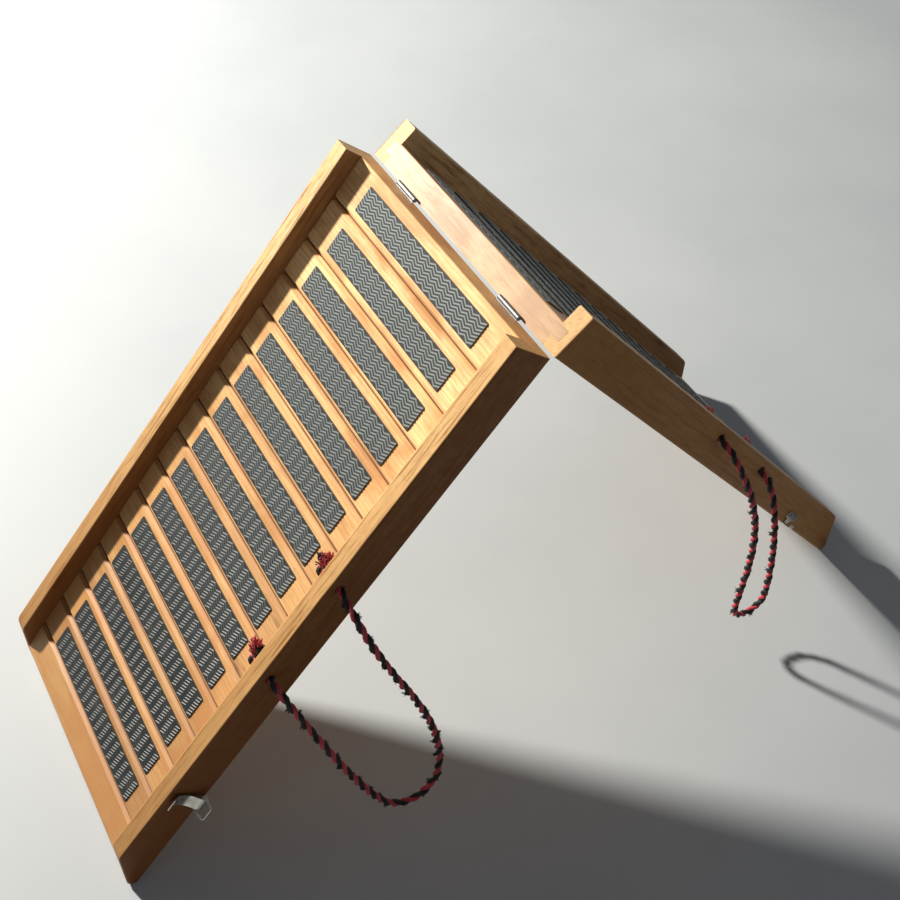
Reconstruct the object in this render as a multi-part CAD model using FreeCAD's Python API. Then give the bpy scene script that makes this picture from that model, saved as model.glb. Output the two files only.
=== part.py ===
# Two-section folding wooden pet ramp, standing open like a tent.
#
# Frame: X runs along the ramp, Y across its width (the rope handles and the latch are on -Y),
# Z up.  The origin lies on the ground, midway between the two feet.  Units are millimetres.
#
# Each section is modelled in its own flat frame, with the hinge axis as its Y axis: u (local X)
# runs from the hinge to the outer end, w (local Z) from the underside up to the treads.  The
# right section is then tipped down by the leg angle, and the left one is its mirror image.
import FreeCAD
import Part
import os
from math import sin, cos, tan, radians, pi

V = FreeCAD.Vector

# ---- overall sizes -------------------------------------------------------------------------
ramp_width = 400.0          # over the outsides of the two side rails
section_length = 868.0      # hinge axis to the tip of the rail, along the underside
leg_angle = 50.0            # slope of each section below the horizontal, standing as a tent

# ---- side rails ----------------------------------------------------------------------------
rail_thickness = 24.0
rail_height = 56.0
foot_radius = 8.0           # rounded lower corner that stands on the ground
nose_radius = 18.0          # rounded upper corner of the outer end
rail_edge_radius = 2.5
groove_depth = 13.0         # groove along the inside of each rail, which takes the board ends
groove_bottom = 12.8        # above the underside
groove_height = 16.0

# ---- boards --------------------------------------------------------------------------------
tread_height = 31.5         # walking face above the underside
board_bevel = 4.5           # bevels that meet as a V between two boards
lower_edge_bevel = 1.0
hinge_board_width = 59.0
wide_slat_width = 60.0      # the slat next to the hinge board
slat_pitch = 51.0
slat_count = 14             # slats between the hinge board and the end board
board_joint = 0.4           # open joint between neighbouring boards
tongue_end_gap = 0.3
end_board_setback = 0.8     # of the end board's edge behind the slanted rail ends

# ---- rubber treads -------------------------------------------------------------------------
tread_strip_width = 34.0
tread_strip_length = 265.0
tread_strip_thickness = 1.8
tread_strip_corner = 2.0
tread_strip_offset = 2.0    # of a strip's middle towards the outer end

# ---- hinges --------------------------------------------------------------------------------
hinge_gap = 3.4             # end of a section to the hinge axis
hinge_drop = 0.3            # hinge axis below the undersides, half the gap when folded shut
hinge_spacing = 228.0       # between the middles of the two hinges
hinge_length = 40.0
knuckle_radius = 3.0
knuckle_middle = 20.0       # length of the middle knuckle
knuckle_play = 0.25
leaf_width = 18.0
leaf_thickness = 1.5
hinge_pin_radius = 1.5
running_play = 0.05         # radial, wherever a pin turns in a hole
seat_play = 0.02            # radial, wherever a pin or screw is held fast
pin_head_radius = 2.3
pin_head_length = 0.8
barrel_relief = 1.4         # scoop in the wood round the knuckles

# ---- screws --------------------------------------------------------------------------------
screw_radius = 1.5
hinge_screw_length = 12.0
latch_screw_length = 10.0   # stops short of the groove behind it
pilot_extra = 0.5           # depth of a pilot hole past the screw's point
screw_head_radius = 3.0
screw_head_height = 1.5
screw_slot = 0.6
leaf_screw_out = 11.2       # hinge axis to a leaf's screws
leaf_screw_inset = 8.0      # from a leaf's ends

# ---- rope handles --------------------------------------------------------------------------
rope_diameter = 9.0
rope_hole_radius = 6.0
rope_hole_height = 41.0     # above the underside
rope_hole_spacing = 142.0
left_rope_station = 341.0   # hinge axis to the first hole
right_rope_station = 373.0
knot_radius = 9.0
tuft_length = 21.0
tuft_root_radius = 4.0
tuft_tip_radius = 6.5
knot_clearance = 0.3        # to the rail's inside
knot_grip = 4.0             # the rope ends this far short of the knot's middle
rope_straight = 12.0        # leaves its hole straight for this far
tuft_lean_in = 0.35         # lean of the frayed ends away from the rail
tuft_lean_up = 0.42         # and towards the rail's top

# ---- latch, on the left front rail, and its keeper on the right front rail ---------------------
latch_station = 688.0       # hinge axis to the middle of the latch and of the keeper
plate_thickness = 1.2
base_plate_width = 12.0
base_plate_start = 2.0      # above the underside
base_plate_end = 33.0
base_screw_heights = (19.5, 28.0)
lever_pivot_height = 7.5    # above the underside
lever_pivot_out = 8.4       # out from the rail
lever_pin_radius = 1.2
ear_radius = 2.1
lever_width = 17.0
lever_sheet = 1.0
lever_profile = ((4.4, 10.2), (6.2, 11.6), (9.0, 12.1), (13.0, 11.0), (19.0, 8.0), (26.0, 5.0),
                 (34.0, 3.4), (42.0, 3.5), (48.0, 5.2), (52.0, 8.2), (53.6, 11.0))
lever_cheek_end = 24.0      # the lever's two side cheeks reach this far above the underside
lever_cheek_out = 2.6       # and this near to the rail
bail_wire_radius = 1.0
bail_pivot_height = 13.0    # above the underside
bail_pivot_out = 7.0
bail_half_width = 10.5      # middle of the plate to the middle of a leg, at the catch
bail_root_half_width = 13.0 # and at the pivot
bail_corner = 3.5
bail_end_bend = 1.4
bail_end_reach = 0.6        # of the wire's ends past the lever's cheeks
bail_rest_angle = 78.0      # stands this far out from the rail
bail_shut_angle = 8.0       # and this far when it is hooked on the keeper
bail_seat_play = 1.0        # to the hook when the latch is shut
bail_lip_play = 0.3         # to the hook's lip
keeper_plate_width = 32.0
keeper_plate_start = 10.0   # above the underside
keeper_plate_end = 22.5
keeper_corner = 5.0
keeper_tab_width = 12.0
keeper_tab_start = 2.0
keeper_screw_height = 16.0
keeper_screw_spacing = 17.0
hook_lip_end = 8.4

# ---- worked out from the sizes above -----------------------------------------------------------
angle = radians(leg_angle)
half_width = ramp_width / 2
inner_face = half_width - rail_thickness
underside = hinge_drop                      # w of the undersides
end_slope = tan(angle)                      # the outer ends stand upright in the tent
tip_angle = radians(90.0 - leg_angle)       # of the rail's lower outer corner
foot_centre_u = section_length - foot_radius / tan(tip_angle / 2)
foot_centre_w = underside + foot_radius
hinge_z = foot_radius + foot_centre_u * sin(angle) - foot_centre_w * cos(angle)
groove_low = underside + groove_bottom
groove_high = groove_low + groove_height
tread = underside + tread_height
tongue_reach = inner_face + groove_depth - tongue_end_gap
rope_hole_w = underside + rope_hole_height
bail_seat = keeper_tab_start + plate_thickness + bail_seat_play + bail_wire_radius
bail_drop = bail_pivot_height + 2 * underside + bail_seat    # pivot to the seat, along the rail
bail_length = bail_drop / cos(radians(bail_shut_angle))
hook_out = (bail_pivot_out + bail_drop * tan(radians(bail_shut_angle)) + bail_wire_radius
            + bail_lip_play + plate_thickness)
bail_reach = bail_pivot_out + bail_length * sin(radians(bail_rest_angle)) + bail_wire_radius
middle_y = bail_reach / 2                   # puts the origin in the middle of the whole depth


# ---- small helpers -------------------------------------------------------------------------
def box(u0, u1, y0, y1, w0, w1):
    """A block between two corners of the section's frame."""
    return Part.makeBox(u1 - u0, y1 - y0, w1 - w0, V(u0, y0, w0))


def across(points, y0, y1):
    """A solid with the outline points (u, w), running along Y from y0 to y1."""
    ring = [V(u, y0, w) for u, w in points]
    return Part.Face(Part.makePolygon(ring + ring[:1])).extrude(V(0, y1 - y0, 0))


def along(points, u0, u1):
    """A solid with the outline points (out, height), running along u: out is away from the
    front rail's face, height is above the underside."""
    ring = [V(u0, -half_width - out, underside + height) for out, height in points]
    return Part.Face(Part.makePolygon(ring + ring[:1])).extrude(V(u1 - u0, 0, 0))


def cylinder_y(radius, u, w, y0, y1):
    return Part.makeCylinder(radius, y1 - y0, V(u, y0, w), V(0, 1, 0))


def cylinder_u(radius, out, height, u0, u1):
    return Part.makeCylinder(radius, u1 - u0, V(u0, -half_width - out, underside + height),
                             V(1, 0, 0))


def slanted_edge(w):
    """u of the slanted outer end at the height w."""
    return section_length - (w - underside) * end_slope


def joined(shapes):
    return shapes[0].multiFuse(shapes[1:]).removeSplitter() if len(shapes) > 1 else shapes[0]


def place(shape, side):
    """Tip a section's solid down by the leg angle and stand it in the ramp's frame."""
    placed = shape.copy()
    placed.rotate(V(0, 0, 0), V(0, 1, 0), leg_angle)
    if side == "left":
        placed = placed.mirror(V(0, 0, 0), V(1, 0, 0))
    placed.translate(V(0, middle_y, hinge_z))
    return placed


def write(name, shape):
    solids = shape.Solids
    bad = [s for s in solids if not s.isValid() or s.Volume <= 0]
    body = solids[0] if len(solids) == 1 else Part.makeCompound(solids)
    body.exportStep("parts/%s.step" % name)
    print("%-26s solids %2d  volume %10.1f%s" % (name, len(solids), body.Volume,
                                                 "  INVALID" if bad else ""))


# ---- side rails ----------------------------------------------------------------------------
def edges_where(shape, test):
    return [e for e in shape.Edges if test(e)]


def rail(front, rope_station=None, screw_places=()):
    """One side rail: slanted and rounded at the outer end, grooved inside, and drilled for a
    rope and for screws."""
    y0 = -half_width if front else inner_face
    y1 = y0 + rail_thickness
    top = underside + rail_height
    outline = [(hinge_gap, underside), (section_length, underside),
               (slanted_edge(top), top), (hinge_gap, top)]
    body = across(outline, y0, y1)

    def corner(u, w):
        return lambda e: all(abs(v.X - u) < 0.01 and abs(v.Z - w) < 0.01 for v in e.Vertexes)

    body = body.makeFillet(foot_radius, edges_where(body, corner(section_length, underside)))
    body = body.makeFillet(nose_radius, edges_where(body, corner(slanted_edge(top), top)))

    def long_edge(e):
        on_side = all(abs(v.Y - y0) < 0.01 for v in e.Vertexes) \
            or all(abs(v.Y - y1) < 0.01 for v in e.Vertexes)
        return on_side and e.BoundBox.XMax > hinge_gap + 1

    body = body.makeFillet(rail_edge_radius, edges_where(body, long_edge))
    groove_y = inner_face if not front else -inner_face - groove_depth
    body = body.cut(box(hinge_gap - 1, section_length + 1, groove_y, groove_y + groove_depth,
                        groove_low, groove_high))
    if rope_station is not None:
        for station in (rope_station, rope_station + rope_hole_spacing):
            body = body.cut(cylinder_y(rope_hole_radius, station, rope_hole_w, y0 - 1, y1 + 1))
    for at in screw_places:
        body = body.cut(screw_hole(at, inward, latch_screw_length))
    return body


# ---- boards --------------------------------------------------------------------------------
def with_tongues(board, u0, u1):
    """Cut the shoulders that leave a tongue at each end of a board."""
    for y in (-tongue_reach - 1, inner_face):
        y_end = y + tongue_reach + 1 - inner_face
        board = board.cut(box(u0 - 1, u1 + 1, y, y_end, groove_high, tread + 1))
        board = board.cut(box(u0 - 1, u1 + 1, y, y_end, underside - 1, groove_low))
    return board


def slat(u0, u1):
    low = groove_low
    outline = [(u0 + lower_edge_bevel, low), (u1 - lower_edge_bevel, low),
               (u1, low + lower_edge_bevel), (u1, tread - board_bevel),
               (u1 - board_bevel, tread), (u0 + board_bevel, tread),
               (u0, tread - board_bevel), (u0, low + lower_edge_bevel)]
    return with_tongues(across(outline, -tongue_reach, tongue_reach), u0, u1)


def hinge_board(u0, u1):
    outline = [(u0, underside), (u1 - lower_edge_bevel, underside),
               (u1, underside + lower_edge_bevel), (u1, tread - board_bevel),
               (u1 - board_bevel, tread), (u0 + lower_edge_bevel, tread),
               (u0, tread - lower_edge_bevel)]
    board = with_tongues(across(outline, -tongue_reach, tongue_reach), u0, u1)
    for y in hinge_middles:
        y0, y1 = y - hinge_length / 2, y + hinge_length / 2
        board = board.cut(box(u0 - 1, leaf_width, y0, y1, underside - 1,
                              underside + leaf_thickness))
        scoop = knuckle_radius + barrel_relief
        board = board.cut(cylinder_y(scoop, 0, 0, y0 - barrel_relief, y1 + barrel_relief))
        for u, sy in leaf_screw_places(y):
            board = board.cut(screw_hole(V(u, sy, underside), V(0, 0, 1), hinge_screw_length))
    return board


def end_board(u0):
    low = groove_low
    edge = [slanted_edge(w) - end_board_setback for w in (low, tread)]
    outline = [(u0 + lower_edge_bevel, low), (edge[0], low), (edge[1], tread),
               (u0 + board_bevel, tread), (u0, tread - board_bevel),
               (u0, low + lower_edge_bevel)]
    return with_tongues(across(outline, -tongue_reach, tongue_reach), u0, edge[0])


def board_edges():
    """Start and end of every board along u: the hinge board, then the slats."""
    edges = [(hinge_gap, hinge_gap + hinge_board_width)]
    for k in range(slat_count):
        start = edges[-1][1] + board_joint
        width = wide_slat_width if k == 0 else slat_pitch - board_joint
        edges.append((start, start + width))
    return edges


def rubber_strip(u0, u1):
    middle = (u0 + u1) / 2 + tread_strip_offset
    strip = box(middle - tread_strip_width / 2, middle + tread_strip_width / 2,
                -tread_strip_length / 2, tread_strip_length / 2,
                tread, tread + tread_strip_thickness)
    upright = edges_where(strip, lambda e: abs(e.Vertexes[0].Z - e.Vertexes[-1].Z) > 1)
    return strip.makeFillet(tread_strip_corner, upright)


# ---- screws, hinges ------------------------------------------------------------------------
def flat_screw(at, inward, length):
    """A countersunk wood screw with a cross slot: at is the middle of its head's face."""
    head = Part.makeCone(screw_head_radius, screw_radius, screw_head_height, at, inward)
    shank = Part.makeCylinder(screw_radius, length - screw_radius, at, inward)
    point = Part.makeCone(screw_radius, 0.2, screw_radius,
                          at + inward * (length - screw_radius), inward)
    screw = joined([head, shank, point])
    reach = screw_head_radius * 0.6
    for turn in (45, 135):
        slot = Part.makeBox(2 * reach, screw_slot, 2 * screw_slot,
                            V(-reach, -screw_slot / 2, -screw_slot))
        slot.rotate(V(0, 0, 0), V(0, 0, 1), turn)
        slot.Placement = FreeCAD.Placement(at, FreeCAD.Rotation(V(0, 0, 1), inward)).multiply(
            slot.Placement)
        screw = screw.cut(slot)
    return screw


def screw_hole(at, inward, length):
    """The countersunk hole for a screw of that length, through its plate and into the wood."""
    cone = Part.makeCone(screw_head_radius + seat_play, screw_radius + seat_play,
                         screw_head_height, at, inward)
    return joined([cone, Part.makeCylinder(screw_radius + seat_play, length + pilot_extra,
                                           at, inward)])


hinge_middles = (-hinge_spacing / 2, hinge_spacing / 2)


def leaf_screw_places(y):
    reach = hinge_length / 2 - leaf_screw_inset
    return [(leaf_screw_out, y - reach), (leaf_screw_out, y + reach)]


def hinge_leaf(y, outer_knuckles):
    """One leaf with its own knuckles: the two end ones, or the middle one."""
    y0, y1 = y - hinge_length / 2, y + hinge_length / 2
    m0, m1 = y - knuckle_middle / 2, y + knuckle_middle / 2
    gap = knuckle_play / 2
    middle, ends = [(m0, m1)], [(y0 - 1, m0), (m1, y1 + 1)]
    own = [(max(a, y0) + gap, min(b, y1) - gap) for a, b in (ends if outer_knuckles else middle)]
    other = [(a - gap, b + gap) for a, b in (middle if outer_knuckles else ends)]
    plate = box(0, leaf_width, y0, y1, underside, underside + leaf_thickness)
    leaf = joined([plate] + [cylinder_y(knuckle_radius, 0, 0, a, b) for a, b in own])
    for a, b in other:
        leaf = leaf.cut(cylinder_y(knuckle_radius + knuckle_play, 0, 0, a, b))
    play = seat_play if outer_knuckles else running_play
    leaf = leaf.cut(cylinder_y(hinge_pin_radius + play, 0, 0, y0 - 1, y1 + 1))
    for u, sy in leaf_screw_places(y):
        leaf = leaf.cut(screw_hole(V(u, sy, underside), V(0, 0, 1), hinge_screw_length))
    return leaf


def hinge_pin(y):
    y0, y1 = y - hinge_length / 2, y + hinge_length / 2
    return joined([cylinder_y(hinge_pin_radius, 0, 0, y0, y1),
                   cylinder_y(pin_head_radius, 0, 0, y0 - pin_head_length, y0),
                   cylinder_y(pin_head_radius, 0, 0, y1, y1 + pin_head_length)])


def leaf_screws(y):
    return [flat_screw(V(u, sy, underside), V(0, 0, 1), hinge_screw_length)
            for u, sy in leaf_screw_places(y)]


# ---- latch and keeper ------------------------------------------------------------------------
inward = V(0, 1, 0)             # into the front rail
latch_lo = latch_station - base_plate_width / 2
latch_hi = latch_station + base_plate_width / 2


def face_point(u, out, height):
    return V(u, -half_width - out, underside + height)


def base_screw_places():
    return [face_point(latch_station, plate_thickness, h) for h in base_screw_heights]


def latch_base():
    """The plate on the rail, with two upright ears that carry the lever's pin."""
    low, high = lever_pivot_height - ear_radius, lever_pivot_height + ear_radius
    parts = [along([(0, base_plate_start), (plate_thickness, base_plate_start),
                    (plate_thickness, base_plate_end), (0, base_plate_end)], latch_lo, latch_hi)]
    for u in (latch_lo, latch_hi - plate_thickness):
        parts.append(along([(0, low), (lever_pivot_out, low), (lever_pivot_out, high),
                            (0, high)], u, u + plate_thickness))
        parts.append(cylinder_u(ear_radius, lever_pivot_out, lever_pivot_height,
                                u, u + plate_thickness))
    base = joined(parts)
    base = base.cut(cylinder_u(lever_pin_radius + seat_play, lever_pivot_out, lever_pivot_height,
                               latch_lo - 1, latch_hi + 1))
    for at in base_screw_places():
        base = base.cut(screw_hole(at, inward, latch_screw_length))
    return base


def latch_pin():
    reach = lever_width / 2
    return cylinder_u(lever_pin_radius, lever_pivot_out, lever_pivot_height,
                      latch_station - reach, latch_station + reach)


def smooth_line(points, u):
    """A smooth edge through the points (out, height) in the plane at u."""
    curve = Part.BSplineCurve()
    curve.interpolate([face_point(u, out, height) for out, height in points])
    return curve.toShape()


def inside_line(points, depth):
    """The points moved by the sheet's thickness towards the rail, square to the line."""
    moved = []
    for k, (height, out) in enumerate(points):
        before, after = points[max(k - 1, 0)], points[min(k + 1, len(points) - 1)]
        dh, do = after[0] - before[0], after[1] - before[1]
        size = (dh * dh + do * do) ** 0.5
        moved.append((height + depth * do / size, out - depth * dh / size))
    return moved


def latch_lever():
    """A dished sheet-metal lever, its free end curled out for a finger, its two cheeks bent in
    to the rail to take the pivot pin and the wire loop."""
    half = lever_width / 2
    outer = [(out, height) for height, out in lever_profile]
    inner = [(out, height) for height, out in inside_line(lever_profile, lever_sheet)]
    u = latch_station - half
    ends = [Part.LineSegment(face_point(u, *outer[k]), face_point(u, *inner[k])).toShape()
            for k in (0, -1)]
    ring = Part.Wire(Part.__sortEdges__([smooth_line(outer, u), smooth_line(inner, u)] + ends))
    parts = [Part.Face(ring).extrude(V(lever_width, 0, 0))]
    middle = [(o - lever_sheet / 2, h) for o, h in outer if h < lever_cheek_end]
    cheek = middle + [(lever_cheek_out, lever_cheek_end), (lever_cheek_out, lever_pivot_height),
                      (lever_cheek_out + ear_radius, lever_profile[0][0])]
    for edge in (u, u + lever_width - lever_sheet):
        parts.append(along(cheek, edge, edge + lever_sheet))
    lever = joined(parts)
    for radius, out, height in ((lever_pin_radius, lever_pivot_out, lever_pivot_height),
                                (bail_wire_radius, bail_pivot_out, bail_pivot_height)):
        lever = lever.cut(cylinder_u(radius + running_play, out, height,
                                     latch_station - lever_width, latch_station + lever_width))
    return lever


def tube_along(points, bends, radius):
    """A round bar through the points, each corner turned with its own bend radius.  Returns the
    solid and the length of its middle line."""
    edges, at, length = [], points[0], 0.0
    for a, b, c, bend in zip(points, points[1:], points[2:], bends):
        back, on = (a - b).normalize(), (c - b).normalize()
        half_turn = (pi - back.getAngle(on)) / 2
        start, end = b + back * bend * tan(half_turn), b + on * bend * tan(half_turn)
        middle = b + (back + on).normalize() * (bend / cos(half_turn) - bend)
        edges += [Part.LineSegment(at, start).toShape(), Part.Arc(start, middle, end).toShape()]
        length += (start - at).Length + bend * 2 * half_turn
        at = end
    edges.append(Part.LineSegment(at, points[-1]).toShape())
    length += (points[-1] - at).Length
    ring = Part.Wire(Part.makeCircle(radius, points[0], (points[1] - points[0]).normalize()))
    return Part.Wire(edges).makePipeShell([ring], True, False), length


def latch_bail():
    """The wire loop: both ends turn in through the lever's sides, the far side is the catch."""
    tilt = radians(bail_rest_angle)

    def at(side, distance):
        return face_point(latch_station + side, bail_pivot_out + distance * sin(tilt),
                          bail_pivot_height - distance * cos(tilt))

    end = lever_width / 2 - lever_sheet - bail_end_reach
    points = [at(-end, 0), at(-bail_root_half_width, 0), at(-bail_half_width, bail_length),
              at(bail_half_width, bail_length), at(bail_root_half_width, 0), at(end, 0)]
    bends = [bail_end_bend, bail_corner, bail_corner, bail_end_bend]
    return tube_along(points, bends, bail_wire_radius)[0]


def keeper():
    """A screwed plate with a tab at the rail's lower edge, bent out and up into a hook."""
    half, tab = keeper_plate_width / 2, keeper_tab_width / 2
    t = plate_thickness
    plate = along([(0, keeper_plate_start), (t, keeper_plate_start), (t, keeper_plate_end),
                   (0, keeper_plate_end)], latch_station - half, latch_station + half)
    through = edges_where(plate, lambda e: abs(e.Vertexes[0].Y - e.Vertexes[-1].Y) > t / 2)
    plate = plate.makeFillet(keeper_corner, through)
    hook = along([(0, keeper_tab_start), (hook_out - t, keeper_tab_start),
                  (hook_out, keeper_tab_start + t), (hook_out, hook_lip_end),
                  (hook_out - t, hook_lip_end), (hook_out - t, keeper_tab_start + t),
                  (t, keeper_tab_start + t), (t, keeper_plate_start + 1),
                  (0, keeper_plate_start + 1)], latch_station - tab, latch_station + tab)
    body = joined([plate, hook])
    for at in keeper_screw_places():
        body = body.cut(screw_hole(at, inward, latch_screw_length))
    return body


def keeper_screw_places():
    return [face_point(latch_station + side * keeper_screw_spacing / 2, plate_thickness,
                       keeper_screw_height) for side in (-1, 1)]


# ---- rope handles --------------------------------------------------------------------------
# Each rope's route, from one knot to the other, measured from the hinge axis at mid width.
def mouth(station, side):
    """x and z of a rope hole, from the hinge axis."""
    x = station * cos(angle) + rope_hole_w * sin(angle)
    z = -station * sin(angle) + rope_hole_w * cos(angle)
    return (-x if side == "left" else x), z


knot_y = -inner_face + knot_radius + knot_clearance
rope_start_y = knot_y - knot_grip
rope_out_y = -half_width - rope_straight


def rope_route(side, station, middle_points):
    xa, za = mouth(station, side)
    xb, zb = mouth(station + rope_hole_spacing, side)
    route = [(xa, rope_start_y, za), (xa, rope_out_y, za)] + middle_points
    return route + [(xb, rope_out_y, zb), (xb, rope_start_y, zb)]


left_loop = [(-247, -246, -262), (-226, -268, -322), (-196, -281, -392), (-176, -287, -464),
             (-170, -290, -531), (-178, -291, -573), (-204, -291, -597), (-237, -289, -588),
             (-260, -284, -550), (-286, -273, -490), (-310, -257, -426), (-332, -237, -366)]
right_loop = [(279, -240, -286), (299, -252, -338), (316, -258, -402), (321, -261, -472),
              (317, -262, -541), (316.5, -262.5, -583), (332.3, -263, -599), (354.7, -263, -599),
              (370.5, -262.5, -583), (370, -261, -541), (368, -256, -487), (366, -246, -436),
              (364, -231, -392)]


def rope(route):
    """A tube of straight runs joined by arcs as large as the runs allow."""
    points = [V(*p) for p in route]
    radii = []
    for a, b, c in zip(points, points[1:], points[2:]):
        shorter = min((a - b).Length, (c - b).Length)
        radii.append(0.45 * shorter / tan((pi - (a - b).getAngle(c - b)) / 2))
    tube, length = tube_along(points, radii, rope_diameter / 2)
    print("rope length %.1f, volume %.0f for %.0f expected, radii %s"
          % (length, tube.Volume, length * pi * rope_diameter ** 2 / 4,
             " ".join("%.0f" % r for r in radii)))
    return tube


def knot(side, station, tube):
    """The stopper knot inside the rail, with its two frayed ends, round the end of the rope."""
    x, z = mouth(station, side)
    centre = V(x, knot_y + middle_y, z + hinge_z)
    outer = V(-cos(angle) if side == "left" else cos(angle), 0, -sin(angle))
    up = V(-sin(angle) if side == "left" else sin(angle), 0, cos(angle))
    parts = [Part.makeSphere(knot_radius, centre)]
    for way in (-1, 1):
        lean = (outer * way + V(0, tuft_lean_in, 0) + up * tuft_lean_up).normalize()
        parts.append(Part.makeCone(tuft_root_radius, tuft_tip_radius, tuft_length, centre, lean))
    return joined(parts).cut(tube)


def in_world(route):
    return [(x, y + middle_y, z + hinge_z) for x, y, z in route]


# ---- build and write -------------------------------------------------------------------------
os.makedirs("parts", exist_ok=True)
boards = board_edges()
sides = (("left", left_rope_station, left_loop, base_screw_places()),
         ("right", right_rope_station, right_loop, keeper_screw_places()))

for side, station, loop, fixings in sides:
    write(side + "_front_rail", place(rail(True, station, fixings), side))
    write(side + "_back_rail", place(rail(False), side))
    write(side + "_hinge_board", place(hinge_board(*boards[0]), side))
    for number, (start, end) in enumerate(boards[1:], 1):
        write("%s_slat_%02d" % (side, number), place(slat(start, end), side))
    write(side + "_end_board", place(end_board(boards[-1][1] + board_joint), side))
    strips = Part.makeCompound([rubber_strip(start, end) for start, end in boards])
    write(side + "_rubber_treads", place(strips, side))
    tube = rope(in_world(rope_route(side, station, loop)))
    write(side + "_rope", tube)
    write(side + "_rope_upper_knot", knot(side, station, tube))
    write(side + "_rope_lower_knot", knot(side, station + rope_hole_spacing, tube))
    screws = [screw for y in hinge_middles for screw in leaf_screws(y)]
    write(side + "_hinge_screws", place(Part.makeCompound(screws), side))

for name, y in zip(("front", "back"), hinge_middles):
    write(name + "_hinge_left_leaf", place(hinge_leaf(y, True), "left"))
    write(name + "_hinge_right_leaf", place(hinge_leaf(y, False), "right"))
    write(name + "_hinge_pin", place(hinge_pin(y), "left"))

write("latch_base_plate", place(latch_base(), "left"))
write("latch_lever", place(latch_lever(), "left"))
write("latch_pivot_pin", place(latch_pin(), "left"))
write("latch_bail", place(latch_bail(), "left"))
write("keeper_plate", place(keeper(), "right"))
for name, side, places in (("latch_screws", "left", base_screw_places()),
                           ("keeper_screws", "right", keeper_screw_places())):
    screws = [flat_screw(at, inward, latch_screw_length) for at in places]
    write(name, place(Part.makeCompound(screws), side))
print("hinge axis at z %.3f, middle y %.3f" % (hinge_z, middle_y))
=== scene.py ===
# %% [markdown]
# # A folding pet ramp, standing open like a tent
# The ramp is two wooden sections on two butt hinges.  Its solid parts come from the CAD frame
# and keep their shape here; this script gives them their wood, metal and rubber finishes, and
# models what CAD left plain: the zigzag ribs of the treads, the twisted ropes and their frayed
# knots.  Lengths are in metres, Z is up and the ramp stands on the floor at Z = 0.

# %% Load the frame
import bpy
import math
import numpy as np
from mathutils import Matrix, Vector


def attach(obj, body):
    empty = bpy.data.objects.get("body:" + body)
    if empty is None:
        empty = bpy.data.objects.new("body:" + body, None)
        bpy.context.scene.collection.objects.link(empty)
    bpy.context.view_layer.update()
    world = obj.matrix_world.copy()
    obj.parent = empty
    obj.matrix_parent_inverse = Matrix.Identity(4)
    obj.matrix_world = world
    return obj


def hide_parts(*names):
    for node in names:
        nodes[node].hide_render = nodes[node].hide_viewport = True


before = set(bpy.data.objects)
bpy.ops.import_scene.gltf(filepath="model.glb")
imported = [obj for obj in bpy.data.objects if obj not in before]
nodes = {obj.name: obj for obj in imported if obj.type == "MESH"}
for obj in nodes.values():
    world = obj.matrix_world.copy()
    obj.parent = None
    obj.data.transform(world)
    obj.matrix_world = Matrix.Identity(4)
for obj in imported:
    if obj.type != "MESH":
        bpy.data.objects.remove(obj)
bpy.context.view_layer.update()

# %% [markdown]
# ## Sizes shared by the steps
# Both sections slope at 50 degrees from the hinge axis.  A point on a section is easiest to give
# as u (distance from the hinge along the section), y (across) and w (above the underside), and
# one small function turns that into the ramp's own X, Y and Z.

# %% Place things on a section
SLOPE = math.radians(50.0)
HINGE_Z = 0.650754
MIDDLE_Y = 0.013285
WALKING_FACE = 0.0318
HALF_WIDTH = 0.200


def on_section(side, u, y, w):
    """The place of a point of the left or the right section, in the ramp's frame."""
    x = u * math.cos(SLOPE) + w * math.sin(SLOPE)
    z = HINGE_Z - u * math.sin(SLOPE) + w * math.cos(SLOPE)
    return Vector((-x if side == "left" else x, y + MIDDLE_Y, z))


def section_matrix(side):
    """Carries a mesh made in section lengths (u, y, w) to its place."""
    origin = on_section(side, 0, 0, 0)
    columns = [on_section(side, *axis) - origin for axis in ((1, 0, 0), (0, 1, 0), (0, 0, 1))]
    turn = Matrix(columns).transposed().to_4x4()
    return Matrix.Translation(origin) @ turn


print("hinge axis at", on_section("left", 0, 0, 0))

# %% [markdown]
# ## Camera
# The camera comes first, because everything after it is judged through it.  It stands above and
# to the left of the ramp and is rolled, so that the long left section runs down the frame.  Its
# place and its three directions are given straight as numbers, which avoids any guessing with
# rotation angles.

# %% Camera
CAMERA_PLACE = (-0.59129, -0.983442 + MIDDLE_Y, 0.924338 + HINGE_Z)
CAMERA_RIGHT = Vector((0.86969408, -0.49295127, 0.02512475))
CAMERA_UP = Vector((0.34967716, 0.65124828, 0.67349949))
CAMERA_AHEAD = Vector((0.34836487, 0.57695297, -0.73876057))

camera_data = bpy.data.cameras.new("camera")
camera = bpy.data.objects.new("camera", camera_data)
bpy.context.scene.collection.objects.link(camera)
camera_data.sensor_fit = "HORIZONTAL"
camera_data.angle = math.radians(37.71123)
camera_data.clip_start = 0.01
camera.matrix_world = (Matrix.Translation(CAMERA_PLACE)
                       @ Matrix((CAMERA_RIGHT, CAMERA_UP, -CAMERA_AHEAD)).transposed().to_4x4())
bpy.context.scene.camera = camera
print("camera field of view:", round(math.degrees(camera_data.angle), 2))

# %% [markdown]
# ## Writing materials as sums
# A Blender material is a graph of nodes.  Wiring one by hand is slow to read, so this small class
# wraps a socket: adding or multiplying two of them adds the Math node that does it, and `node`
# makes any other node from its type, its settings and its inputs.

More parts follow.
